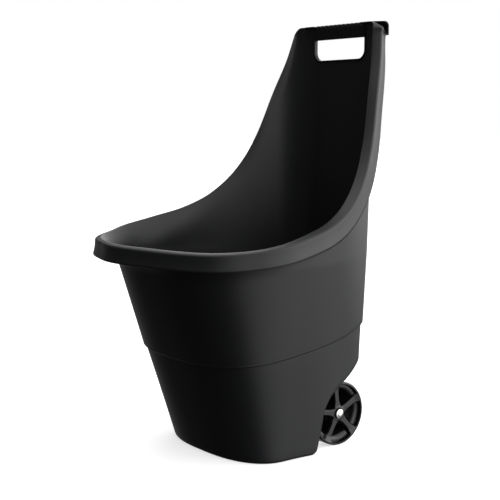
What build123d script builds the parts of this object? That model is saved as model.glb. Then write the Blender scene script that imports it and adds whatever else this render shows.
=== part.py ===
from build123d import *
import os
from math import atan2, cos, pi, radians, sin

# Garden cart: a one-piece moulded tub on two wheels. Millimetres. +Z is up, +X is the right side, -Y is the
# front lip and +Y the handle side. The origin is on the ground in the middle of the whole cart.

# Overall sizes
HEIGHT = 840.0
WIDTH = 534.0
DEPTH = 570.0
LIP_HEIGHT = 418.0

# Tub: half widths, front and back edges of its plan at three levels, and how far behind the front edge it is
# widest. Fronts are measured from the lip of the rim, backs from the rearmost point of the grip.
WALL = 2.2
BASE_HALF_WIDTH = 158.0
BASE_FRONT = 192.0
BASE_WIDEST = 88.0
BASE_BACK = 54.0
STEP_HEIGHT = 193.0
STEP_HALF_WIDTH = 188.0
STEP_FRONT = 133.0
STEP_WIDEST = 140.0
STEP_BACK = 46.0
STEP_RISE = 0.128
STEP_LEDGE = 4.0
TOP_LEVEL = 380.0
TOP_SIDE_SETBACK = 53.0
TOP_FRONT = 73.0
TOP_WIDEST = 195.0
TOP_BACK = 34.0
GRIP_DEPTH = 17.0
BACK_HALF_WIDTH = 154.0
BACK_CORNER_R = 91.0
BASE_ROUND = 10.0
FRONT_ROUNDNESS = 2.7
FLANK_ALONG = 0.55
FLANK_ACROSS = 0.45
STEP_OVERLAP = 0.5

# Rim and grip
RIM_WALL = 2.2
RIM_SKIRT = 34.0
RIM_FRONT_LENGTH = 220.0
RIM_ROUNDNESS = 2.5
GRIP_HALF_LENGTH = 128.0
GRIP_HEIGHT = 28.0
GRIP_WALL = 3.5
GRIP_ROUND = 9.0
WINDOW_WIDTH = 150.0
WINDOW_HEIGHT = 43.0
WINDOW_CORNER_R = 18.0
WINDOW_FLANGE = 6.0

# Wheels and axle
WHEEL_R = 64.0
WHEEL_WIDTH = 34.0
WHEEL_OUTER_X = 140.0
WHEEL_TREAD = 5.0
WHEEL_WEB = 4.0
SPOKES = 5
SPOKE_START = 180.0
SPOKE_WIDTH = 13.0
SPOKE_DEPTH = 24.0
HUB_R = 14.0
HUB_INSET = 3.0
AXLE_R = 4.0
AXLE_FROM_BACK = 137.0
AXLE_RUN_CLEARANCE = 0.08
ARCH_GAP = 7.0
HEEL_LEAN = 7.0
UNDERSIDE_SLOPE = 0.38
CAP_R = 9.5
CAP_DOME = 2.5
CAP_RIM = 3.5
WASHER_R = 11.0
WASHER_THICKNESS = 1.2
WASHER_CLEARANCE = 0.1
END_PLAY = 0.6
RIB_THICKNESS = 7.0
RIB_EYE_R = 13.0

# Places that follow from the sizes
FRONT = -DEPTH / 2
BACK = DEPTH / 2
PANEL_Y = BACK - GRIP_DEPTH
AXLE_Y = BACK - AXLE_FROM_BACK
AXLE_Z = WHEEL_R
ARCH_R = WHEEL_R + ARCH_GAP
HEEL_Y = AXLE_Y - ARCH_R - HEEL_LEAN
WHEEL_INNER_X = WHEEL_OUTER_X - WHEEL_WIDTH
HUB_OUTER_X = WHEEL_OUTER_X - HUB_INSET
CAP_X = HUB_OUTER_X + END_PLAY + WASHER_THICKNESS
RIB_X = WHEEL_INNER_X - END_PLAY - RIB_THICKNESS / 2
FAR = 2 * (WIDTH + DEPTH + HEIGHT)


def blend(low, high, share):
    return tuple(one + (other - one) * share for one, other in zip(low, high))


# Half width, front edge, widest line and back edge of the tub's plan
BASE_PLAN = (BASE_HALF_WIDTH, FRONT + BASE_FRONT, FRONT + BASE_FRONT + BASE_WIDEST, BACK - BASE_BACK)
STEP_PLAN = (STEP_HALF_WIDTH, FRONT + STEP_FRONT, FRONT + STEP_FRONT + STEP_WIDEST, BACK - STEP_BACK)
TOP_HALF_WIDTH = WIDTH / 2 - TOP_SIDE_SETBACK
TOP_PLAN = (TOP_HALF_WIDTH, FRONT + TOP_FRONT, FRONT + TOP_FRONT + TOP_WIDEST, BACK - TOP_BACK)
HANDLE_PLAN = blend(STEP_PLAN, TOP_PLAN, (HEIGHT - STEP_HEIGHT) / (TOP_LEVEL - STEP_HEIGHT))[:3] + (PANEL_Y,)


def plan_points(plan, grow):
    """Points round one level of the tub: a superellipse in front, straight flanks and round back corners."""
    half, front, widest, back = plan
    right = []
    for step in range(1, 8):
        turn = pi / 2 * step / 7
        x = (half + grow) * sin(turn) ** (2 / FRONT_ROUNDNESS)
        y = widest - (widest - front + grow) * cos(turn) ** (2 / FRONT_ROUNDNESS)
        right.append((x, y))
    corner_x = BACK_HALF_WIDTH - BACK_CORNER_R
    corner_y = back - BACK_CORNER_R
    corner_r = BACK_CORNER_R + grow
    flank_x = half + grow + (BACK_HALF_WIDTH - half) * FLANK_ACROSS
    right.append((flank_x, widest + (corner_y - widest) * FLANK_ALONG))
    for step in range(5):
        turn = radians(10 + 20 * step)
        right.append((corner_x + corner_r * cos(turn), corner_y + corner_r * sin(turn)))
    left = [(-x, y) for x, y in reversed(right)]
    return [(0, front - grow)] + right + [(0, back + grow)] + left


def level(plan, height, grow):
    outline = Spline(*plan_points(plan, grow), periodic=True)
    return Pos(0, 0, height) * Face(Wire(outline))


def side_slab(outline):
    """A slab right across the cart from an outline of edges drawn as (y, z)."""
    face = Face(Wire(outline))
    return extrude(Plane.YZ * face, FAR / 2, both=True)


def below_step(lift):
    """Everything below the step, which rises towards the back."""
    rise = STEP_RISE * FAR
    middle = STEP_HEIGHT + lift - STEP_RISE * (FRONT + STEP_FRONT)
    corners = [(-FAR, -FAR), (FAR, -FAR), (FAR, middle + rise), (-FAR, middle - rise)]
    return side_slab(Polyline(*corners, close=True))


def tub_body(grow, lift):
    """The filled tub, grown or shrunk all round, with its ledge lifted and the base raised by the wall."""
    round_middle = BASE_ROUND * (1 - cos(pi / 4))
    past_step = 1 + STEP_OVERLAP
    low_levels = [
        level(BASE_PLAN, lift, grow - BASE_ROUND),
        level(BASE_PLAN, lift + round_middle, grow - round_middle),
        level(blend(BASE_PLAN, STEP_PLAN, BASE_ROUND / STEP_HEIGHT), lift + BASE_ROUND, grow),
        level(blend(BASE_PLAN, STEP_PLAN, past_step), STEP_HEIGHT * past_step, grow),
    ]
    low_plan = blend(STEP_PLAN, TOP_PLAN, -STEP_OVERLAP)
    low_height = STEP_HEIGHT - STEP_OVERLAP * (TOP_LEVEL - STEP_HEIGHT)
    high_levels = [
        level(low_plan, low_height, grow + STEP_LEDGE),
        level(TOP_PLAN, TOP_LEVEL, grow + STEP_LEDGE),
        level(HANDLE_PLAN, HEIGHT, grow),
    ]
    step_cut = below_step(lift)
    low = loft(low_levels, ruled=True) & step_cut
    high = loft(high_levels, ruled=True) - step_cut
    return low + high


def underside(grow):
    """The space under the back: an arch round the wheels, then a slope up to the back wall."""
    arch_r = ARCH_R + grow
    slope_angle = atan2(UNDERSIDE_SLOPE, 1)
    meet = (AXLE_Y - arch_r * sin(slope_angle), AXLE_Z + arch_r * cos(slope_angle))
    side = (AXLE_Y - arch_r, AXLE_Z)
    middle_turn = (pi + pi / 2 + slope_angle) / 2
    middle = (AXLE_Y + arch_r * cos(middle_turn), AXLE_Z + arch_r * sin(middle_turn))
    far_end = (FAR, meet[1] + (FAR - meet[0]) * UNDERSIDE_SLOPE)
    heel = (HEEL_Y - grow, -FAR)
    heel_top = (HEEL_Y - grow, 0)
    outline = [
        Line(heel, heel_top),
        Line(heel_top, side),
        ThreePointArc(side, middle, meet),
        Line(meet, far_end),
        Line(far_end, (FAR, -FAR)),
        Line((FAR, -FAR), heel),
    ]
    return side_slab(outline)


# The crest is the top edge of the rim seen from the side: low round the front, then up to the handle.
# Each point gives its share of the depth, from the back, and its share of the rise from the lip to the grip.
CREST_SHAPE = [
    (1.0, 0.002), (0.83, -0.002), (0.665, 0.028), (0.442, 0.10), (0.339, 0.17),
    (0.253, 0.29), (0.188, 0.45), (0.133, 0.67), (0.058, 0.99),
]
crest_points = []
for ahead, share in CREST_SHAPE:
    crest_points.append((BACK - ahead * DEPTH, LIP_HEIGHT + (HEIGHT - LIP_HEIGHT) * share))
crest = Spline(*crest_points)


def crest_curve(drop):
    """The crest moved square to itself into the tub wall, run straight on past both of its ends."""
    points = []
    for step in range(17):
        place = crest @ (step / 16)
        along = crest % (step / 16)
        points.append((place.X + along.Y * drop, place.Y - along.X * drop))
    start = (points[0][0] - WIDTH, points[0][1])
    rise = crest % 1
    end = (points[-1][0] + rise.X * HEIGHT, points[-1][1] + rise.Y * HEIGHT)
    return start, points, end


def above_crest(drop):
    start, points, end = crest_curve(drop)
    outline = [
        Line(start, points[0]),
        Spline(*points),
        Line(points[-1], end),
        Line(end, (start[0], end[1])),
        Line((start[0], end[1]), start),
    ]
    return side_slab(outline)


def rim_block(inset):
    """An upright block with the plan of the rim's outer edge."""
    widest = FRONT + RIM_FRONT_LENGTH
    right = []
    for step in range(1, 16):
        turn = pi * step / 16
        length = (RIM_FRONT_LENGTH if turn <= pi / 2 else BACK - widest) - inset
        x = (WIDTH / 2 - inset) * sin(turn) ** (2 / RIM_ROUNDNESS)
        lean = abs(cos(turn)) ** (2 / RIM_ROUNDNESS)
        y = widest - length * lean if turn <= pi / 2 else widest + length * lean
        right.append((x, y))
    left = [(-x, y) for x, y in reversed(right)]
    points = [(0, FRONT + inset)] + right + [(0, BACK - inset)] + left
    return extrude(Face(Wire(Spline(*points, periodic=True))), 2 * HEIGHT)


def grip_bar():
    """The grip: a channel along X, open below, whose front leg is the back panel."""
    top = HEIGHT
    bottom = HEIGHT - GRIP_HEIGHT
    section = Polyline((PANEL_Y - WALL, bottom), (PANEL_Y - WALL, top), (BACK, top), (BACK, bottom), close=True)
    bar = extrude(Plane.YZ * Face(Wire(section)), GRIP_HALF_LENGTH, both=True)
    bar = fillet(bar.edges().filter_by(Axis.X).group_by(Axis.Z)[-1], GRIP_ROUND)
    hollow_depth = GRIP_DEPTH - GRIP_WALL
    hollow = Pos(0, PANEL_Y + hollow_depth / 2, (top + bottom) / 2 - GRIP_WALL)
    return bar - hollow * Box(3 * GRIP_HALF_LENGTH, hollow_depth, GRIP_HEIGHT)


def window(grow, depth):
    """The hand hole under the grip, square above and round below, as a block along Y."""
    width = WINDOW_WIDTH + 2 * grow
    low = HEIGHT - GRIP_HEIGHT - WINDOW_HEIGHT - grow
    high = HEIGHT - GRIP_HEIGHT
    block = Pos(0, PANEL_Y, (low + high) / 2) * Box(width, depth, high - low)
    low_edges = block.edges().filter_by(Axis.Y).group_by(Axis.Z)[0]
    return fillet(low_edges, WINDOW_CORNER_R + grow)


def axle_rib(centre_x):
    """An upright rib under the slope with an eye for the axle."""
    eye = Pos(centre_x, AXLE_Y, AXLE_Z) * Rot(0, 90, 0) * Cylinder(RIB_EYE_R, RIB_THICKNESS)
    top = AXLE_Z + ARCH_R + WALL / 2
    web = Pos(centre_x, AXLE_Y, (AXLE_Z + top) / 2) * Box(RIB_THICKNESS, 2 * RIB_EYE_R, top - AXLE_Z)
    return eye + web


def make_tub():
    filled = tub_body(0, 0) - underside(0)
    hollow = tub_body(-WALL, WALL) - underside(WALL)
    rim_gap = rim_block(RIM_WALL) - above_crest(RIM_WALL)
    rim = rim_block(0) - above_crest(0) - rim_gap
    rim = rim & above_crest(RIM_SKIRT)
    behind_panel = Pos(0, PANEL_Y + GRIP_DEPTH, HEIGHT / 2) * Box(2 * GRIP_HALF_LENGTH, 2 * GRIP_DEPTH, 2 * HEIGHT)
    tub = filled - above_crest(0) + (rim - behind_panel)
    tub = tub - Pos(0, 0, HEIGHT + FAR / 2) * Box(FAR, FAR, FAR)
    tub = tub - hollow
    tub = tub + grip_bar()
    panel_front = Pos(0, PANEL_Y - WALL / 2 - FAR / 2, 0) * Box(FAR, FAR, FAR)
    tub = tub + (window(WALL, 2 * WINDOW_FLANGE) - panel_front)
    tub = tub - window(0, 4 * WINDOW_FLANGE)
    for side in (-1, 0, 1):
        tub = tub + axle_rib(side * RIB_X)
    bore = Pos(0, AXLE_Y, AXLE_Z) * Rot(0, 90, 0) * Cylinder(AXLE_R, WIDTH)
    return tub - bore


def on_axle(shape, low_x):
    """Turns a shape drawn up +Z from zero so that it runs outwards along +X from low_x on the axle."""
    return Pos(low_x, AXLE_Y, AXLE_Z) * Rot(0, 90, 0) * shape


def tube(radius, hole_r, length):
    align = (Align.CENTER, Align.CENTER, Align.MIN)
    return Cylinder(radius, length, align=align) - Cylinder(hole_r, length, align=align)


def mirrored(shape):
    return shape.mirror(Plane.YZ)


def make_wheel():
    """A moulded wheel: a tread ring with rounded edges, a thin web on its inner side, a hub and spokes."""
    bore_r = AXLE_R + AXLE_RUN_CLEARANCE
    tread = tube(WHEEL_R, WHEEL_R - WHEEL_TREAD, WHEEL_WIDTH)
    tread = fillet(tread.edges().filter_by(GeomType.CIRCLE).group_by(SortBy.RADIUS)[-1], WHEEL_TREAD * 0.6)
    web_low = WHEEL_WIDTH - SPOKE_DEPTH - WHEEL_WEB
    web = Pos(0, 0, web_low) * tube(WHEEL_R - WHEEL_TREAD / 2, bore_r, WHEEL_WEB)
    hub = tube(HUB_R, bore_r, WHEEL_WIDTH - HUB_INSET)
    wheel = tread + web + hub
    spoke_length = WHEEL_R - WHEEL_TREAD / 2 - HUB_R / 2
    for number in range(SPOKES):
        spoke = Box(spoke_length, SPOKE_WIDTH, SPOKE_DEPTH - HUB_INSET, align=(Align.MIN, Align.CENTER, Align.MIN))
        turn = 360 / SPOKES * number + SPOKE_START
        wheel = wheel + Rot(0, 0, turn) * Pos(HUB_R / 2, 0, web_low + WHEEL_WEB) * spoke
    bore = Cylinder(bore_r, 3 * WHEEL_WIDTH)
    return on_axle(wheel - bore, WHEEL_INNER_X)


def make_washer():
    return on_axle(tube(WASHER_R, AXLE_R + WASHER_CLEARANCE, WASHER_THICKNESS), HUB_OUTER_X + END_PLAY)


def make_cap():
    """A push-on cap: a short cup with a domed end, pressed over the end of the axle."""
    body = tube(CAP_R, AXLE_R, CAP_RIM)
    dome_r = (CAP_R ** 2 + CAP_DOME ** 2) / (2 * CAP_DOME)
    dome = Pos(0, 0, CAP_RIM + CAP_DOME - dome_r) * Sphere(dome_r)
    dome = dome & Pos(0, 0, CAP_RIM + CAP_DOME) * Box(4 * CAP_R, 4 * CAP_R, 2 * CAP_DOME)
    return on_axle(body + dome, CAP_X)


def make_axle():
    return on_axle(Pos(0, 0, -CAP_X - CAP_RIM) * Cylinder(
        AXLE_R, 2 * (CAP_X + CAP_RIM), align=(Align.CENTER, Align.CENTER, Align.MIN)), 0)


right_wheel = make_wheel()
right_cap = make_cap()
right_washer = make_washer()
nodes = {
    "tub": make_tub(),
    "axle": make_axle(),
    "wheel_right": right_wheel,
    "wheel_left": mirrored(right_wheel),
    "hub_cap_right": right_cap,
    "hub_cap_left": mirrored(right_cap),
    "washers": Compound(children=[right_washer, mirrored(right_washer)]),
}

os.makedirs("parts", exist_ok=True)
for name, shape in nodes.items():
    export_step(shape, f"parts/{name}.step")
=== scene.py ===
import math

import bmesh
import bpy
import numpy as np

from mathutils import Matrix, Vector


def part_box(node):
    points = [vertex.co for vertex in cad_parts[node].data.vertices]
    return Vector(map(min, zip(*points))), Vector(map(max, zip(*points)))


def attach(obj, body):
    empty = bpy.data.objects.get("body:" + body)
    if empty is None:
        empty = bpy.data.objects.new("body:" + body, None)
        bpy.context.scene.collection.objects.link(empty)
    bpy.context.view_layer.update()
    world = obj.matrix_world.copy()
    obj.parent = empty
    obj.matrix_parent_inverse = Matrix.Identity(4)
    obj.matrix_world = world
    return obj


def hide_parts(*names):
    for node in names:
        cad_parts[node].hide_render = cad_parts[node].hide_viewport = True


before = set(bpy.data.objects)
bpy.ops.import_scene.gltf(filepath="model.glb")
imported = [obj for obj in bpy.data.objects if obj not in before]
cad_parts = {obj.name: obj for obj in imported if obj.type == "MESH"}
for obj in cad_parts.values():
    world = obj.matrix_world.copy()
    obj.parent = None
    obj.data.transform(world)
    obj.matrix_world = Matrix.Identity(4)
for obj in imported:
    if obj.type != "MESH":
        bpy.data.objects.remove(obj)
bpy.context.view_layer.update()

# ---------------------------------------------------------------------------------------------------------
# The tub. One injection moulding in polypropylene, about 2.2 mm thick: a flat base, drafted walls with a
# step half way up, and a mouth that flares out into a rolled rim. Its back runs up into the
# handle panel. Everything below is drawn in millimetres in the cart's own frame and put in place in metres.

MM = 0.001
tub_low, tub_high = (np.array(corner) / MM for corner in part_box("tub"))
wheel_low, wheel_high = (np.array(corner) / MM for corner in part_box("wheel_right"))
FRONT, BACK, TOP = tub_low[1], tub_high[1], tub_high[2]
AXLE_Y = (wheel_low[1] + wheel_high[1]) / 2
AXLE_Z = (wheel_low[2] + wheel_high[2]) / 2
WHEEL_R = (wheel_high[2] - wheel_low[2]) / 2
WALL = 2.2
GRIP_DEPTH = 17.0
PANEL_Y = BACK - GRIP_DEPTH

# Heights of the levels that the walls run straight between, and the plan of the tub at each of them:
# half width, front edge, widest line, back edge and how square the front is.
LEVELS = (0.0, 193.0, 380.0, 840.0)
HALVES = (158.0, 188.0, 214.0, 246.0)
FRONTS = (FRONT + 192, FRONT + 133, FRONT + 73, FRONT - 60)
WIDESTS = (-5.0, -12.0, -17.0, -20.0)
BACKS = (BACK - 54, BACK - 46, BACK - 34, PANEL_Y)
SQUARENESS = (2.4, 2.8, 2.8, 2.8)
FLANK_HALF = 154.0
CORNER_R = 91.0
CORNER_START = math.radians(30)
FLANK_FROM, CORNER_FROM, STRAIGHT_FROM = 0.46, 0.70, 0.90


def wall_point(along, height, grow):
    """Right half of the tub's plan at a height. along runs from 0 at the middle of the front to 1 at the
    middle of the back: a superellipse quarter, a cubic curve along the flank, a round corner, a straight."""
    half, front, widest, back, square = (
        np.interp(height, LEVELS, row) for row in (HALVES, FRONTS, WIDESTS, BACKS, SQUARENESS))
    turn = np.clip(along / FLANK_FROM, 0, 1) * np.pi / 2
    power = 2 / square
    x = (half + grow) * np.sin(turn) ** power
    y = widest - (widest - front + grow) * np.cos(turn) ** power
    centre_x = FLANK_HALF - CORNER_R
    centre_y = back - CORNER_R
    radius = CORNER_R + grow
    end_x = centre_x + radius * math.cos(CORNER_START)
    end_y = centre_y + radius * math.sin(CORNER_START)
    reach = (end_y - widest) * 0.4
    t = np.clip((along - FLANK_FROM) / (CORNER_FROM - FLANK_FROM), 0, 1)
    weights = ((1 - t) ** 3, 3 * t * (1 - t) ** 2, 3 * t ** 2 * (1 - t), t ** 3)
    xs = (half + grow, half + grow, end_x + reach * math.sin(CORNER_START), end_x)
    ys = (widest, widest + reach, end_y - reach * math.cos(CORNER_START), end_y)
    flank = along > FLANK_FROM
    x = np.where(flank, sum(w * p for w, p in zip(weights, xs)), x)
    y = np.where(flank, sum(w * p for w, p in zip(weights, ys)), y)
    t = np.clip((along - CORNER_FROM) / (STRAIGHT_FROM - CORNER_FROM), 0, 1)
    turn = CORNER_START + (np.pi / 2 - CORNER_START) * t
    corner = along > CORNER_FROM
    x = np.where(corner, centre_x + radius * np.cos(turn), x)
    y = np.where(corner, centre_y + radius * np.sin(turn), y)
    t = np.clip((along - STRAIGHT_FROM) / (1 - STRAIGHT_FROM), 0, 1)
    return np.where(along > STRAIGHT_FROM, centre_x * (1 - t), x), y


def smooth_line(points, count):
    """A Catmull-Rom curve through the points, sampled evenly along its length. It starts square to the
    middle plane, as if the points went on in mirror image."""
    p = np.array(points, float)
    p = np.vstack([p[1] * (-1, 1, 1), p, 2 * p[-1] - p[-2]])
    t = np.linspace(0, len(p) - 3, 60 * len(p))
    i = np.minimum(t.astype(int), len(p) - 4)
    u = (t - i)[:, None]
    a, b, c, d = p[i], p[i + 1], p[i + 2], p[i + 3]
    square, cube = 2 * a - 5 * b + 4 * c - d, 3 * b - a - 3 * c + d
    dense = 0.5 * (2 * b + (c - a) * u + square * u ** 2 + cube * u ** 3)
    length = np.r_[0, np.cumsum(np.linalg.norm(np.diff(dense, axis=0), axis=1))]
    want = np.linspace(0, length[-1], count)
    return np.stack([np.interp(want, length, dense[:, k]) for k in range(p.shape[1])], 1)


# The underside seen from the side: the heel of the base, an arch round the wheels and a slope to the back.
ARCH_R = WHEEL_R + 7.0
HEEL_Y = AXLE_Y - ARCH_R - 7.0
SLOPE = math.atan(0.38)
HEEL_ROUND = 10.0


def underside_line(grow, count):
    """The heel's rounded corner, its leaning face, and the arch, as (y, z) points from the base upwards."""
    turn = np.linspace(-np.pi / 2, 0, count // 4)
    corner_y = HEEL_Y - grow - HEEL_ROUND
    low = np.stack([corner_y + HEEL_ROUND * np.cos(turn), HEEL_ROUND + grow + HEEL_ROUND * np.sin(turn)], 1)
    turn = np.linspace(np.pi, np.pi / 2 + SLOPE, count - count // 4)
    radius = ARCH_R + grow
    arch = np.stack([AXLE_Y + radius * np.cos(turn), AXLE_Z + radius * np.sin(turn)], 1)
    return np.vstack([low, arch])


def slope_height(y, grow):
    """Height of the slope behind the arch at a place y."""
    radius = ARCH_R + grow
    return AXLE_Z + radius / math.cos(SLOPE) + (y - AXLE_Y) * math.tan(SLOPE)


# Columns run up the tub. Those at the front start on the base's edge, the next ones up the heel and over
# the arch, and the rest along the slope to the middle of the back.
FRONT_COLUMNS, ARCH_COLUMNS, REAR_COLUMNS = 64, 40, 90
fine = np.linspace(0, 1, 1201)
base_y = wall_point(fine, np.zeros_like(fine), -WALL)[1]
heel_along = np.interp(HEEL_Y - WALL - HEEL_ROUND, base_y, fine)
front_along = np.linspace(0, heel_along, FRONT_COLUMNS, endpoint=False)
front_height = np.full(FRONT_COLUMNS, WALL)
arch = underside_line(WALL, ARCH_COLUMNS)
arch_along = np.array([
    np.interp(y, wall_point(fine, np.full_like(fine, z), -WALL)[1], fine) for y, z in arch])
rear_along = np.linspace(arch_along[-1], 1, REAR_COLUMNS + 1)[1:]
# The slope's height depends on y and y on the height, so a few rounds bring the two together.
rear_height = np.full(REAR_COLUMNS, 150.0)
for _ in range(6):
    rear_height = slope_height(wall_point(rear_along, rear_height, -WALL)[1], WALL)
edge_along = np.r_[front_along, arch_along, rear_along]
edge_height = np.r_[front_height, arch[:, 1], rear_height]
middle_along = np.r_[front_along, np.linspace(heel_along, arch_along[-1], ARCH_COLUMNS), rear_along]
COLUMNS = len(edge_along)

# The crest is the top edge of the mouth. Low and level round the front, it climbs the flanks into the handle,
# whose upper corners are round.
HANDLE_HALF, TOP_CORNER_R = 104.0, 15.0
CORNER_CENTRE = FLANK_HALF - CORNER_R
CREST = (
    (0, FRONT + 14, 421), (80, FRONT + 35, 419.5), (140, FRONT + 60, 418), (190, FRONT + 93, 418),
    (226, FRONT + 142, 421.5), (246, FRONT + 191, 430), (241, -32, 443), (226, 33, 460), (206.5, 91, 490),
    (186.5, 140, 539), (167.5, 177, 607), (147.5, 208, 700), (130.5, 232, 768),
    (HANDLE_HALF + TOP_CORNER_R, 246, TOP - TOP_CORNER_R))
crest = smooth_line(CREST, 700)
handle_x = np.linspace(HANDLE_HALF, 0, 60)
corner_turn = np.linspace(0, np.pi / 2, 12)[1:-1]
corner = np.stack([
    HANDLE_HALF + TOP_CORNER_R * np.cos(corner_turn), np.interp(corner_turn, [0, 1.57], [246, 255.0]),
    TOP - TOP_CORNER_R + TOP_CORNER_R * np.sin(corner_turn)], 1)
bow = CORNER_R - np.sqrt(CORNER_R ** 2 - np.maximum(handle_x - CORNER_CENTRE, 0) ** 2)
handle_y = PANEL_Y - bow
handle = np.stack([handle_x, handle_y - WALL, np.full(60, TOP)], 1)
crest_path = np.vstack([crest, corner, handle])


def nearest_along(points):
    """Where on the wall's plan, at its own height, each point of a path comes nearest."""
    x, y = wall_point(fine[None, :], points[:, 2:3] + 0 * fine[None, :], -WALL)
    return fine[np.argmin((x - points[:, :1]) ** 2 + (y - points[:, 1:2]) ** 2, axis=1)]


crest_along = np.maximum.accumulate(nearest_along(crest_path))
SMOOTHED_OVER, KEPT_ENDS = 15, 8
kernel = np.ones(SMOOTHED_OVER) / SMOOTHED_OVER
crest_along[KEPT_ENDS:-KEPT_ENDS] = np.convolve(crest_along, kernel, "same")[KEPT_ENDS:-KEPT_ENDS]
crest_along = np.maximum.accumulate(crest_along + np.arange(len(crest_along)) * 1e-7)
crest_along[0], crest_along[-1] = 0, 1
top = np.stack([np.interp(middle_along, crest_along, crest_path[:, k]) for k in range(3)], 1)

STEP_ROWS, UPPER_ROWS, FLOOR_ROWS = 16, 70, 12
STEP_LEDGE, LEDGE_ROUND = 4.0, 1.5
STEP_TILT = 0.128
FLARE, FLARE_CURVE = 62.0, 2.2
UPPER_CROWDING = 1.6


def step_height(y):
    """Height of the step in the wall, which rises gently towards the back."""
    return LEVELS[1] + WALL + STEP_TILT * (y - FRONTS[1])


ledge_height = np.full(COLUMNS, 200.0)
for _ in range(5):
    ledge_height = step_height(wall_point(middle_along, ledge_height, -WALL)[1])
edge_x, edge_y = wall_point(edge_along, edge_height, -WALL)
edge = np.stack([edge_x, edge_y, edge_height], 1)
# Size of the rounding between floor and wall: 6 round the base, 4 over the arch, 3 at the back.
round_r = np.interp(np.arange(COLUMNS), [0, FRONT_COLUMNS - 1, FRONT_COLUMNS + 8, COLUMNS], [6, 6, 4, 3])
first = (round_r / (ledge_height - edge_height))[None, :]
share = first + (1 - first) * np.linspace(0, 1, STEP_ROWS)[:, None]
low_along = edge_along + (middle_along - edge_along) * share
low_z = edge_height + (ledge_height - edge_height) * share
low_x, low_y = wall_point(low_along, low_z, -WALL)
low_rows = np.stack([low_x, low_y, low_z], 2)

share = (1 - (1 - np.linspace(0, 1, UPPER_ROWS)) ** UPPER_CROWDING)[:, None]
high_z = ledge_height + (top[:, 2] - ledge_height) * share
high_along = middle_along + 0 * share
high_x, high_y = wall_point(high_along, high_z, STEP_LEDGE - WALL)
high_rows = np.stack([high_x, high_y, high_z], 2)
lean = np.clip(1 - (top[:, 2] - high_z) / FLARE, 0, 1)[:, :, None] ** FLARE_CURVE
high_rows = high_rows + (top - high_rows[-1]) * lean
turn = np.linspace(0, np.pi / 2, 5)[:-1, None]
ledge_z = ledge_height + LEDGE_ROUND * (1 - np.cos(turn))
ledge_grow = STEP_LEDGE - WALL - LEDGE_ROUND * (1 - np.sin(turn))
ledge_x, ledge_y = wall_point(middle_along + 0 * turn, ledge_z, ledge_grow)
ledge_rows = np.stack([ledge_x, ledge_y, ledge_z], 2)
high_rows[0, :, 2] += LEDGE_ROUND


def unit(vectors):
    """Vectors scaled to length one."""
    return vectors / np.linalg.norm(vectors, axis=-1, keepdims=True)


# The floor of the tub: each column carries on along the underside's line to the middle plane, while its x
# falls to nothing. A quadratic curve rounds the edge between floor and wall.
line = np.vstack([[edge[0, 1:]], underside_line(WALL, 120), [edge[-1, 1:]]])
line_length = np.r_[0, np.cumsum(np.linalg.norm(np.diff(line, axis=0), axis=1))]
edge_at = np.interp(edge_y, line[:, 0], line_length)
FLOOR_MARGIN = 40.0
centre_at = FLOOR_MARGIN + edge_at * (1 - 2 * FLOOR_MARGIN / line_length[-1])


def floor_point(share):
    """A point of the floor, a share of the way from the edge to the middle plane, for every column."""
    at = edge_at + (centre_at - edge_at) * share
    return np.stack([edge_x * (1 - share), np.interp(at, line_length, line[:, 0]),
                     np.interp(at, line_length, line[:, 1])], -1)


floor_start = round_r / np.linalg.norm(floor_point(1.0) - edge, axis=1)
share = 1 - np.linspace(0, 1, FLOOR_ROWS)[:, None] * (1 - floor_start)
floor_rows = floor_point(share)
bend = np.linspace(0, 1, 6)[1:-1][:, None, None]
start, end = floor_rows[-1], low_rows[0]
round_rows = (1 - bend) ** 2 * start + 2 * bend * (1 - bend) * edge + bend ** 2 * end

# The rim's section, from the crest outwards and then down: a flange, a round bend and a skirt that flares a
# little. The flange is narrower at the lip, and the skirt shorter at the lip and behind the grip.
FLANGE_DROP, BEND_R, SKIRT_FLARE = 1.5, 5.0, 4.0
flange = np.linspace(0, 1, 6)[1:, None]
turn = np.linspace(0, np.pi / 2, 9)[1:, None]
skirt = np.linspace(0, 1, 8)[1:, None]
skirt_end = np.interp(top[:, 2], [421, 445, 740, 820, TOP - 10, TOP], [32, 35, 36, 26, 26, 20])
flange_end = np.interp(top[:, 2], [421, 450, TOP - 10, TOP], [8.5, 14.5, 14.5, 5.0])
bend_end = FLANGE_DROP + BEND_R
rim_out = np.vstack([flange_end * flange, flange_end + BEND_R * np.sin(turn),
                     flange_end + BEND_R + SKIRT_FLARE * skirt ** 2])
rim_down = np.vstack([FLANGE_DROP * flange ** 2 + 0 * skirt_end,
                      FLANGE_DROP + BEND_R * (1 - np.cos(turn)) + 0 * skirt_end,
                      bend_end + (skirt_end - bend_end) * skirt])
along_crest = unit(np.gradient(top, axis=0))
along_crest[0], along_crest[-1] = (1, 0, 0), (-1, 0, 0)
outward = unit(np.stack([along_crest[:, 1], -along_crest[:, 0], 0 * along_crest[:, 0]], 1))
downward = np.cross(along_crest, outward)
rim_rows = top + outward * rim_out[:, :, None] + downward * rim_down[:, :, None]

rows = np.concatenate([floor_rows, round_rows, low_rows, ledge_rows, high_rows, rim_rows])


def grid_faces(row_count, column_count, closed=False):
    """Quads of a grid whose points are numbered row by row, with the last column joined to the first."""
    row, column = np.mgrid[0:row_count - 1, 0:column_count if closed else column_count - 1]
    a = row * column_count + column
    b = row * column_count + (column + 1) % column_count
    return np.stack([a, b, b + column_count, a + column_count], -1).reshape(-1, 4)


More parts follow.
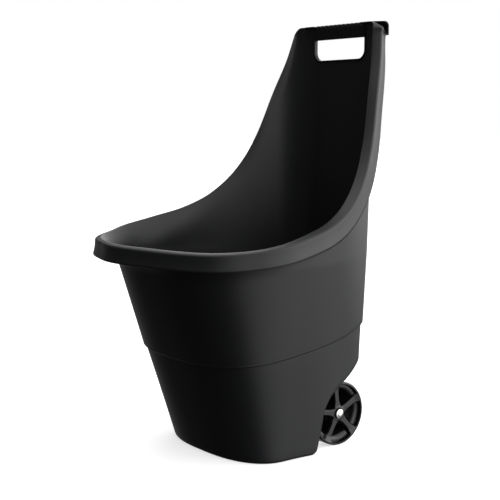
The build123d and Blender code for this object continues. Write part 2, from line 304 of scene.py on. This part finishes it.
def make_piece(name, points, faces, body, replaced=(), sharp=40, merge=0.02):
    """A mesh piece from points in millimetres and faces, merged where points meet, riding on a body."""
    mesh = bpy.data.meshes.new(name)
    faces = faces if isinstance(faces, list) else faces.tolist()
    mesh.from_pydata((np.asarray(points).reshape(-1, 3) * MM).tolist(), [], faces)
    work = bmesh.new()
    work.from_mesh(mesh)
    bmesh.ops.remove_doubles(work, verts=work.verts, dist=merge * MM)
    bmesh.ops.dissolve_degenerate(work, edges=work.edges, dist=merge * MM / 4)
    bmesh.ops.recalc_face_normals(work, faces=work.faces)
    work.to_mesh(mesh)
    work.free()
    mesh.polygons.foreach_set("use_smooth", np.ones(len(mesh.polygons), bool))
    mesh.set_sharp_from_angle(angle=math.radians(sharp))
    piece = bpy.data.objects.new(name, mesh)
    bpy.context.scene.collection.objects.link(piece)
    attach(piece, body)
    if replaced:
        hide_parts(*replaced)
    return piece


faces = grid_faces(len(rows), COLUMNS)
# The flank's skirt stops short of the one behind the grip, and leaves the corner open.
OPEN_CORNER = 14.0
face_row, face_column = np.divmod(np.arange(len(faces)), COLUMNS - 1)
at_corner = (top[face_column, 2] > TOP - OPEN_CORNER) & (top[face_column, 0] > HANDLE_HALF)
faces = faces[~(at_corner & (face_row >= len(rows) - 1 - len(skirt)))]

# The hand hole under the grip: a rectangle with round lower corners, cut clean out of the panel.
GRIP_HEIGHT = 28.0
HOLE_HALF, HOLE_TOP, HOLE_LOW, HOLE_R = 75.0, TOP - GRIP_HEIGHT, TOP - GRIP_HEIGHT - 43.0, 18.0


def outside_hole(x, z):
    """How far a point lies outside the hole's outline, negative inside it."""
    over_x = np.abs(x) - HOLE_HALF
    over_z = np.maximum(z - HOLE_TOP, HOLE_LOW - z)
    square = np.maximum(over_x, over_z)
    corner_x, corner_z = over_x + HOLE_R, HOLE_LOW + HOLE_R - z
    in_corner = (corner_x > 0) & (corner_z > 0)
    return np.where(in_corner, np.hypot(np.maximum(corner_x, 0), np.maximum(corner_z, 0)) - HOLE_R, square)


points = rows.reshape(-1, 3)
middle = points[faces].mean(1)
inside = (outside_hole(middle[:, 0], middle[:, 2]) < 0) & (middle[:, 1] > PANEL_Y - 60)
rim_verts = np.intersect1d(faces[inside].ravel(), faces[~inside].ravel())
faces = faces[~inside]
for _ in range(4):
    x, z = points[rim_verts, 0], points[rim_verts, 2]
    gap = outside_hole(x, z)
    slope_x = (outside_hole(x + 0.01, z) - gap) / 0.01
    slope_z = (outside_hole(x, z + 0.01) - gap) / 0.01
    points[rim_verts, 0] -= gap * slope_x
    points[rim_verts, 2] -= gap * slope_z

mirror_points = points * (-1, 1, 1)
both = np.vstack([points, mirror_points])
both_faces = np.vstack([faces, faces[:, ::-1] + len(points)])
tub = make_piece("tub_shell", both, both_faces, "cart", replaced=("tub",), sharp=50)
wall = tub.modifiers.new("wall", "SOLIDIFY")
wall.thickness = WALL * MM
wall.offset = -1
wall.use_even_offset = True


def linear(hex_colour):
    """An sRGB colour written as six hex digits, as linear red, green, blue and alpha."""
    srgb = np.array([int(hex_colour[k:k + 2], 16) for k in (0, 2, 4)]) / 255
    rgb = np.where(srgb <= 0.04045, srgb / 12.92, ((srgb + 0.055) / 1.055) ** 2.4)
    return (*rgb.tolist(), 1.0)


def add_node(tree, kind, settings=None, **links):
    """Adds a node, sets its properties and socket values, and links its inputs by name."""
    node = tree.nodes.new(kind)
    for key, value in (settings or {}).items():
        if key in node.inputs:
            node.inputs[key].default_value = value
        else:
            setattr(node, key, value)
    for key, source in links.items():
        tree.links.new(source, node.inputs[key.replace("_", " ")])
    return node


def new_material(name):
    """An empty node material and its tree, with the output node in place."""
    material = bpy.data.materials.new(name)
    material.use_nodes = True
    material.node_tree.nodes.clear()
    add_node(material.node_tree, "ShaderNodeOutputMaterial")
    return material, material.node_tree


def finish_material(material, shader):
    """Links the shader to the output."""
    tree = material.node_tree
    tree.links.new(shader.outputs[0], tree.nodes["Material Output"].inputs["Surface"])
    return material


# Polypropylene, moulded against a fine spark-eroded grain: a dark anthracite with a soft, broken sheen.
GRAIN_MM = 1.1


def moulded_polypropylene(name, colour, roughness):
    """Plastic with a fine bump, and slow drifts of roughness and colour as a moulding has."""
    material, tree = new_material(name)
    place = add_node(tree, "ShaderNodeTexCoord").outputs["Object"]
    grain = add_node(tree, "ShaderNodeTexNoise", {"Scale": 1000 / GRAIN_MM, "Detail": 2.0}, Vector=place)
    cloud = add_node(tree, "ShaderNodeTexNoise", {"Scale": 9.0, "Detail": 3.0}, Vector=place)
    bump = add_node(tree, "ShaderNodeBump", {"Strength": 0.12, "Distance": 0.0002},
                    Height=grain.outputs["Fac"])
    rough = add_node(tree, "ShaderNodeMapRange", {"To Min": roughness - 0.04, "To Max": roughness + 0.05},
                     Value=cloud.outputs["Fac"])
    tint = add_node(tree, "ShaderNodeMapRange", {"To Min": 0.9, "To Max": 1.1}, Value=cloud.outputs["Fac"])
    shade = add_node(tree, "ShaderNodeVectorMath", {"operation": "SCALE"}, Scale=tint.outputs["Result"])
    shade.inputs[0].default_value = linear(colour)[:3]
    shader = add_node(tree, "ShaderNodeBsdfPrincipled", {"IOR": 1.49}, Base_Color=shade.outputs[0],
                      Roughness=rough.outputs["Result"], Normal=bump.outputs["Normal"])
    return finish_material(material, shader)


tub_plastic = moulded_polypropylene("moulded_polypropylene", "17181a", 0.44)
tub.data.materials.append(tub_plastic)

# ---------------------------------------------------------------------------------------------------------
# The grip. Above the hand hole the rolled rim carries a ribbed zone in the same moulding: a dozen low ridges
# across the fingers' way, black and slightly glossier than the panel.
RIDGES, RIDGE_PITCH, RIDGE_HEIGHT = 12, 13.0, 1.8
POINTS_A_RIDGE = 14
GRIP_PROUD, GRIP_ROUND = 0.7, 12.0
RIDGES_FADE = 14.0


def squared(wave, power):
    """A sine or cosine pushed towards square, for sections that are boxes with round corners."""
    return np.sign(wave) * np.abs(wave) ** power


GRIP_HALF = RIDGES * RIDGE_PITCH / 2
grip_x = np.linspace(-GRIP_HALF, GRIP_HALF, RIDGES * POINTS_A_RIDGE + 1)
turn = np.linspace(0, np.pi, 21)
front_y = PANEL_Y - WALL - GRIP_PROUD
back_y = BACK + GRIP_PROUD
middle_y = (front_y + back_y) / 2
half_depth = (back_y - front_y) / 2
over_y = middle_y - half_depth * squared(np.cos(turn), 0.7)
over_z = TOP + GRIP_PROUD - GRIP_ROUND + GRIP_ROUND * np.sin(turn) ** 0.7
low_z = TOP - GRIP_HEIGHT - 1.0
outer_y = np.r_[front_y, over_y, back_y]
outer_z = np.r_[low_z, over_z, low_z + 3]
inner_y = (outer_y - middle_y) * 0.8 + middle_y
inner_z = (outer_z - low_z) * 0.9 + low_z
ridge = np.abs(np.sin(np.pi * grip_x / RIDGE_PITCH)) ** 0.8
ridge = ridge * np.clip((GRIP_HALF - np.abs(grip_x)) / 2, 0, 1)
swell = 1 + ridge[:, None] * RIDGE_HEIGHT / half_depth
crown = np.clip((outer_z - TOP + RIDGES_FADE) / RIDGES_FADE, 0, 1)[None, :]
y = middle_y + (outer_y - middle_y)[None, :] * (1 + (swell - 1) * crown)
z = outer_z[None, :] + ridge[:, None] * RIDGE_HEIGHT * crown
ring_y = np.concatenate([y, np.broadcast_to(inner_y[::-1], y.shape)], 1)
ring_z = np.concatenate([z, np.broadcast_to(inner_z[::-1], z.shape)], 1)
ring_x = np.broadcast_to(grip_x[:, None], ring_y.shape)
ring = np.stack([ring_x, ring_y, ring_z], -1)
grip_faces = grid_faces(len(grip_x), ring.shape[1], closed=True).tolist()
half_count = len(outer_y)
for first_index in (0, (len(grip_x) - 1) * ring.shape[1]):
    for k in range(half_count - 1):
        grip_faces.append([first_index + k, first_index + k + 1,
                           first_index + 2 * half_count - 2 - k, first_index + 2 * half_count - 1 - k])
grip = make_piece("grip_ridges", ring, grip_faces, "cart", sharp=50)
grip.data.materials.append(moulded_polypropylene("moulded_polypropylene_grip", "0c0c0d", 0.36))

# The ends of the grip, open channels behind the corners of the panel: a top that rounds over into a back leg.
END_IN, END_OUT, END_R, END_LOW = 70.0, 125.0, 10.0, TOP - 27.0
END_TOP = TOP + 0.3
END_FRONT = PANEL_Y - 12


def end_section(inset):
    """Section of a grip end: level over the panel, round at the back, then down the leg."""
    turn = np.linspace(np.pi / 2, 0, 9)
    radius = END_R - inset
    bend = np.stack([BACK - END_R + radius * np.cos(turn), END_TOP - END_R + radius * np.sin(turn)], 1)
    return np.vstack([[END_FRONT, END_TOP - inset], bend, [BACK - inset, END_LOW]])


end_ring = np.vstack([end_section(0.0), end_section(WALL)[::-1]])
end_x = np.array([END_IN, 95.0, 110.0, END_OUT])
front_edge = np.array([0.0, 0.0, 7.0, 17.0])
count = len(end_ring)
end_faces = grid_faces(len(end_x), count, closed=True).tolist()
end_faces += [list(range(count)), list(range(3 * count, 4 * count))]
for side, name in ((1, "right"), (-1, "left")):
    stations = np.repeat(side * end_x, count)
    end_points = np.stack([stations, *np.tile(end_ring, (4, 1)).T], 1).reshape(4, count, 3)
    end_points[:, [0, -1], 1] += front_edge[:, None]
    grip_end = make_piece(f"grip_end_{name}", end_points, end_faces, "cart")
    grip_end.data.materials.append(tub_plastic)

# ---------------------------------------------------------------------------------------------------------
# The collar of the hand hole: a return flange moulded round the hole, so that no raw edge meets the fingers.
COLLAR_THICK, COLLAR_DEPTH, COLLAR_SHIFT = 3.0, 9.0, 2.4
SECTION_POINTS = 24
turn = np.linspace(0, np.pi / 2, 9)
corner_x, corner_z = HOLE_HALF - HOLE_R, HOLE_LOW + HOLE_R
right_low = np.stack([corner_x + HOLE_R * np.sin(turn), corner_z - HOLE_R * np.cos(turn)], 1)
right_normal = np.stack([np.sin(turn), -np.cos(turn)], 1)
side_z = np.linspace(corner_z, HOLE_TOP + 2, 8)[1:]
right = np.vstack([right_low, np.stack([np.full(7, HOLE_HALF), side_z], 1)])
normal = np.vstack([right_normal, np.tile([1.0, 0.0], (7, 1))])
path = np.vstack([right[::-1] * (-1, 1), np.stack([np.linspace(-corner_x, corner_x, 20)[1:-1],
                  np.full(18, HOLE_LOW)], 1), right])
normals = np.vstack([normal[::-1] * (-1, 1), np.tile([0.0, -1.0], (18, 1)), normal])
turn = np.linspace(0, 2 * np.pi, SECTION_POINTS + 1)[:-1]
section_out = COLLAR_THICK / 2 + COLLAR_THICK / 2 * squared(np.cos(turn), 0.5)
section_y = PANEL_Y - WALL / 2 + COLLAR_SHIFT + COLLAR_DEPTH / 2 * squared(np.sin(turn), 0.3)
collar_x = path[:, :1] + normals[:, :1] * section_out
collar_z = path[:, 1:] + normals[:, 1:] * section_out
collar_y = np.broadcast_to(section_y, collar_x.shape)
collar_faces = grid_faces(len(path), SECTION_POINTS, closed=True).tolist()
last_section = (len(path) - 1) * SECTION_POINTS
collar_faces += [list(range(SECTION_POINTS)), list(range(last_section, last_section + SECTION_POINTS))]
collar = make_piece("hand_hole_collar", np.stack([collar_x, collar_y, collar_z], -1), collar_faces,
                    "cart", sharp=60)
collar.data.materials.append(tub_plastic)

# ---------------------------------------------------------------------------------------------------------
# The axle ribs: three upright webs moulded under the slope, each with an eye that the axle is pushed through.
RIB_THICK, EYE_R, RIB_GAP = 7.0, 13.0, 0.6
WEB_SPREAD, WEB_SUNK = 8.0, 1.5
RIB_X = wheel_low[0] - RIB_GAP - RIB_THICK / 2
turn = np.linspace(np.pi, 2 * np.pi, 25)
eye = np.stack([AXLE_Y + EYE_R * np.cos(turn), AXLE_Z + EYE_R * np.sin(turn)], 1)
web_back = AXLE_Y + EYE_R + WEB_SPREAD
web_rise = math.sqrt((ARCH_R + WEB_SUNK) ** 2 - (EYE_R + WEB_SPREAD) ** 2)
web_top = np.array([[web_back, slope_height(web_back, 0) + WEB_SUNK],
                    [AXLE_Y - EYE_R - WEB_SPREAD, AXLE_Z + web_rise]])
outline = np.vstack([eye, web_top])
for name, centre_x in (("axle_rib_right", RIB_X), ("axle_rib_middle", 0.0), ("axle_rib_left", -RIB_X)):
    sides = np.array([centre_x - RIB_THICK / 2, centre_x + RIB_THICK / 2])
    rib_points = np.stack([np.repeat(sides, len(outline)), *np.tile(outline, (2, 1)).T], 1)
    rib_faces = grid_faces(2, len(outline), closed=True).tolist()
    rib_faces += [list(range(len(outline))), list(range(len(outline), 2 * len(outline)))]
    rib = make_piece(name, rib_points, rib_faces, "cart", sharp=30)
    rounded = rib.modifiers.new("rounded", "BEVEL")
    rounded.width, rounded.segments, rounded.limit_method = 1.0 * MM, 2, "ANGLE"
    rib.data.materials.append(tub_plastic)

# ---------------------------------------------------------------------------------------------------------
# The wheels. Each is one moulding in glossy black plastic: a tread ring, a hub, and five spokes standing
# between pockets that are scooped out of the face. They turn freely on the axle.
WHEEL_WIDTH = wheel_high[0] - wheel_low[0]
SPOKES, SPOKE_START = 5, math.radians(97)
SPOKE_HALF, SPOKE_DROP = 6.2, 3.0
HUB_R, RING_R, AXLE_R = 13.5, 59.0, 4.08
EDGE_R = 3.0
POCKET_DEEP, POCKET_SHALLOW = 30.0, 8.0
RING_DEPTH, HUB_DEPTH, WEB_DEPTH = 0.6, 2.4, 31.5


def soft_step(value, low, high):
    """Nought below low, one above high, and a smooth S between them."""
    t = np.clip((value - low) / (high - low), 0, 1)
    return t * t * (3 - 2 * t)


def wheel_face(radius, turn):
    """Depth of the wheel's outer face below its rim: hub and ring near the top, spokes a little lower with
    bevelled edges, and pockets between them that deepen towards the hub."""
    spacing = 2 * np.pi / SPOKES
    off = (turn - SPOKE_START + spacing / 2) % spacing - spacing / 2
    across = radius * np.abs(np.sin(off))
    half = SPOKE_HALF + 3.5 * soft_step(radius, 40, 60) + 3.0 * soft_step(-radius, -26, -13)
    spoke = 1 - soft_step(across, half, half + 2.6)
    crown = SPOKE_DROP + 2.2 * np.clip((across - half) / 2 + 1, 0, 1) - 1.5 * soft_step(radius, 48, 58)
    pocket = POCKET_DEEP + (POCKET_SHALLOW - POCKET_DEEP) * soft_step(radius, 28, 54)
    depth = pocket + (crown - pocket) * spoke
    ring = soft_step(radius, RING_R - 2.0, RING_R + 0.6)
    depth = depth * (1 - ring) + RING_DEPTH * ring
    hub = 1 - soft_step(radius, HUB_R, HUB_R + 2.0)
    return depth * (1 - hub) + HUB_DEPTH * hub


TURNS = 400
wheel_turn = np.linspace(0, 2 * np.pi, TURNS, endpoint=False)
face_r = np.r_[np.linspace(AXLE_R, HUB_R, 5), np.linspace(HUB_R, HUB_R + 2, 4)[1:],
               np.linspace(HUB_R + 2, RING_R - 2, 30)[1:], np.linspace(RING_R - 2, RING_R + 0.6, 5)[1:],
               np.linspace(RING_R + 0.6, WHEEL_R - EDGE_R, 5)[1:]]
edge_turn = np.linspace(0, np.pi / 2, 7)[1:]
edge_r = WHEEL_R - EDGE_R + EDGE_R * np.sin(edge_turn)
edge_x = RING_DEPTH + (EDGE_R - RING_DEPTH) * (1 - np.cos(edge_turn))
tread_x = np.array([0.3, 0.45, 0.48, 0.52, 0.55, 0.7]) * WHEEL_WIDTH
tread_r = WHEEL_R - np.array([0, 0, 0.9, 0.9, 0, 0])
back_r = np.r_[edge_r[::-1], WHEEL_R - EDGE_R, WHEEL_R - 5.0, WHEEL_R - 6.0, WHEEL_R - 7.0, 40, HUB_R + 2,
               HUB_R, HUB_R - 0.5, AXLE_R]
back_x = np.r_[WHEEL_WIDTH - edge_x[::-1] + RING_DEPTH, WHEEL_WIDTH, WHEEL_WIDTH, WHEEL_WIDTH - 1.5,
               WEB_DEPTH, WEB_DEPTH, WEB_DEPTH, WEB_DEPTH + 0.5, WHEEL_WIDTH, WHEEL_WIDTH]
face_depth = wheel_face(face_r[:, None], wheel_turn[None, :])
lathe_r = np.r_[edge_r, tread_r, back_r]
lathe_x = np.r_[edge_x, tread_x, back_x]
radius = np.concatenate([np.tile(face_r[:, None], TURNS), np.tile(lathe_r[:, None], TURNS)])
depth = np.concatenate([face_depth, np.tile(lathe_x[:, None], TURNS)])
turning = np.tile(wheel_turn, (len(radius), 1))
wheel_points = np.stack([wheel_high[0] - depth, AXLE_Y + radius * np.cos(turning),
                         AXLE_Z + radius * np.sin(turning)], -1)
wheel_faces = grid_faces(len(radius), TURNS, closed=True)
bore = np.arange(TURNS)
next_bore = (bore + 1) % TURNS
last_ring = (len(radius) - 1) * TURNS
wheel_faces = np.vstack([
    wheel_faces, np.stack([last_ring + bore, last_ring + next_bore, next_bore, bore], -1)])

# Gloss polypropylene from a polished tool.
material, tree = new_material("polished_polypropylene")
place = add_node(tree, "ShaderNodeTexCoord").outputs["Object"]
flow = add_node(tree, "ShaderNodeTexNoise", {"Scale": 60.0, "Detail": 2.0}, Vector=place)
rough = add_node(tree, "ShaderNodeMapRange", {"To Min": 0.10, "To Max": 0.18}, Value=flow.outputs["Fac"])
bump = add_node(tree, "ShaderNodeBump", {"Strength": 0.05, "Distance": 0.0005}, Height=flow.outputs["Fac"])
shader = add_node(tree, "ShaderNodeBsdfPrincipled", {"IOR": 1.5, "Base Color": linear("0c0c0d")},
                  Roughness=rough.outputs["Result"], Normal=bump.outputs["Normal"])
wheel_plastic = finish_material(material, shader)
for side, name in ((1, "right"), (-1, "left")):
    wheel = make_piece(f"wheel_{name}_moulding", wheel_points * (side, 1, 1), wheel_faces, f"wheel_{name}",
                       replaced=(f"wheel_{name}",), sharp=45)
    wheel.data.materials.append(wheel_plastic)

# ---------------------------------------------------------------------------------------------------------
# Hub caps, axle and washers: push-on caps of bright plated steel over the ends of a plain drawn rod, each
# holding a blackened washer against the wheel's hub.
cap_low, cap_high = (np.array(corner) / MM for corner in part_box("hub_cap_right"))
CAP_R = (cap_high[2] - cap_low[2]) / 2
CAP_BORE_R, CAP_TURNS = 4.2, 64
cap_r = np.array([CAP_BORE_R, CAP_R - 0.8, CAP_R - 0.2, CAP_R, CAP_R, CAP_R - 0.3, CAP_R - 1.0, CAP_R - 2.0,
                  CAP_R - 2.6, CAP_R - 3.2, CAP_R - 4.5, CAP_R - 6.5, 1.2, 0.0])
cap_share = np.array([0, 0, 0.05, 0.12, 0.36, 0.46, 0.52, 0.56, 0.62, 0.74, 0.86, 0.95, 0.995, 1.0])
cap_x = cap_low[0] + (cap_high[0] - cap_low[0]) * cap_share
cap_turn = np.linspace(0, 2 * np.pi, CAP_TURNS, endpoint=False)
cap_points = np.stack([np.tile(cap_x[:, None], CAP_TURNS), AXLE_Y + cap_r[:, None] * np.cos(cap_turn),
                       AXLE_Z + cap_r[:, None] * np.sin(cap_turn)], -1)
cap_faces = grid_faces(len(cap_r), CAP_TURNS, closed=True).tolist() + [list(range(CAP_TURNS))]


def bright_metal(name, colour, roughness, line_mm):
    """Bare or plated metal whose roughness varies over a few tenths of a millimetre to millimetres."""
    material, tree = new_material(name)
    place = add_node(tree, "ShaderNodeTexCoord").outputs["Object"]
    lines = add_node(tree, "ShaderNodeTexNoise", {"Scale": 1000 / line_mm, "Detail": 2.0}, Vector=place)
    rough = add_node(tree, "ShaderNodeMapRange", {"To Min": roughness * 0.8, "To Max": roughness * 1.3},
                     Value=lines.outputs["Fac"])
    shader = add_node(tree, "ShaderNodeBsdfPrincipled", {"Metallic": 1.0, "Base Color": linear(colour)},
                      Roughness=rough.outputs["Result"])
    return finish_material(material, shader)


nickel = bright_metal("nickel_plate", "f4f3f0", 0.25, 2.0)
steel = bright_metal("drawn_steel", "b9b8b4", 0.35, 1.0)
blackened = bright_metal("blackened_steel", "2e2d2c", 0.4, 1.0)
for side, name in ((1, "right"), (-1, "left")):
    cap = make_piece(f"hub_cap_{name}_pressing", cap_points * (side, 1, 1), cap_faces, "cart",
                     replaced=(f"hub_cap_{name}",), sharp=40)
    cap.data.materials.append(nickel)
for name, metal in (("axle", steel), ("washers", blackened)):
    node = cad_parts[name]
    node.data.materials.clear()
    node.data.materials.append(metal)

# ---------------------------------------------------------------------------------------------------------
# Studio: a pale floor that mirrors and lights nothing, the camera, and a world that stands in for soft
# lights. Its light comes from the right, from behind, from above and a little from the left.
FLOOR_HALF = 20
floor_corners = [(x * FLOOR_HALF, y * FLOOR_HALF, 0) for x, y in ((-1, -1), (1, -1), (1, 1), (-1, 1))]
floor_mesh = bpy.data.meshes.new("floor")
floor_mesh.from_pydata(floor_corners, [], [(0, 1, 2, 3)])
floor = bpy.data.objects.new("floor", floor_mesh)
bpy.context.scene.collection.objects.link(floor)
floor.visible_glossy = False
floor.visible_diffuse = False
material, tree = new_material("white_floor")
shader = add_node(tree, "ShaderNodeBsdfPrincipled", {
    "Base Color": linear("f4f4f4"), "Roughness": 0.9,
    "Emission Color": (1, 1, 1, 1), "Emission Strength": 0.62})
floor_mesh.materials.append(finish_material(material, shader))

camera_data = bpy.data.cameras.new("camera")
camera = bpy.data.objects.new("camera", camera_data)
bpy.context.scene.collection.objects.link(camera)
AZIMUTH, ELEVATION, DISTANCE = math.radians(52.0), math.radians(7.1), 2.12
AIM, AIM_RIGHT, AIM_DOWN = np.array([0, -0.005, 0.42]), 0.0283, 0.0291
LENS_MM = 77.6
look = np.array([-math.sin(AZIMUTH) * math.cos(ELEVATION), math.cos(AZIMUTH) * math.cos(ELEVATION),
                 -math.sin(ELEVATION)])
right_way = np.array([math.cos(AZIMUTH), math.sin(AZIMUTH), 0])
up_way = np.cross(right_way, look)
place = AIM - look * DISTANCE + right_way * AIM_RIGHT - up_way * AIM_DOWN
camera.matrix_world = Matrix((right_way, up_way, -look)).transposed().to_4x4()
camera.location = place
camera_data.lens = LENS_MM
bpy.context.scene.camera = camera
bpy.context.scene.view_settings.view_transform = "Standard"

world = bpy.data.worlds.new("studio")
bpy.context.scene.world = world
world.use_nodes = True
tree = world.node_tree
tree.nodes.clear()
# The studio has a large soft light on the cart's right, a white wall behind it down to just under the
# horizon, a light overhead and two small ones on the left. The camera itself sees plain white.
seen = add_node(tree, "ShaderNodeLightPath").outputs["Is Camera Ray"]
way = add_node(tree, "ShaderNodeTexCoord").outputs["Generated"]


def light_towards(direction, dark_at, bright_at, dim, bright):
    """Brightness rising smoothly from dim to bright with the cosine between a ray and a direction."""
    aim = add_node(tree, "ShaderNodeVectorMath", {"operation": "DOT_PRODUCT"})
    tree.links.new(way, aim.inputs[0])
    aim.inputs[1].default_value = direction
    return add_node(tree, "ShaderNodeMapRange", {
        "interpolation_type": "SMOOTHSTEP", "From Min": dark_at, "From Max": bright_at, "To Min": dim,
        "To Max": bright}, Value=aim.outputs["Value"]).outputs["Result"]


def combine(operation, first, second):
    """A math node joining two brightnesses."""
    node = add_node(tree, "ShaderNodeMath", {"operation": operation})
    tree.links.new(first, node.inputs[0])
    tree.links.new(second, node.inputs[1])
    return node.outputs[0]


right_light = combine("MULTIPLY", light_towards((0.9, 0.3, 0.0), 0.38, 0.85, 0.05, 1.6),
                      light_towards((0, 0, 1.0), -0.5, 0.1, 0.5, 1.3))
wall_light = combine("MULTIPLY", light_towards((0, 1.0, 0), 0.4, 0.95, 0.0, 1.5),
                     light_towards((0, 0, 1.0), -0.25, -0.02, 0.04, 1.0))
low_light = light_towards((-0.87, 0.38, -0.31), 0.85, 1.0, 0.0, 0.35)
left_light = light_towards((-0.68, 0.62, 0.39), 0.94, 1.0, 0.0, 2.4)
top_light = light_towards((0, 0, 1.0), 0.6, 1.0, 0.0, 1.5)
glow = right_light
for light in (wall_light, low_light, top_light, left_light):
    glow = combine("ADD", glow, light)
strength = add_node(tree, "ShaderNodeMix", {"data_type": "FLOAT", "B": 1.0}, Factor=seen, A=glow)
sky = add_node(tree, "ShaderNodeBackground", {"Color": (1, 1, 1, 1)}, Strength=strength.outputs["Result"])
tree.links.new(sky.outputs[0], add_node(tree, "ShaderNodeOutputWorld").inputs["Surface"])
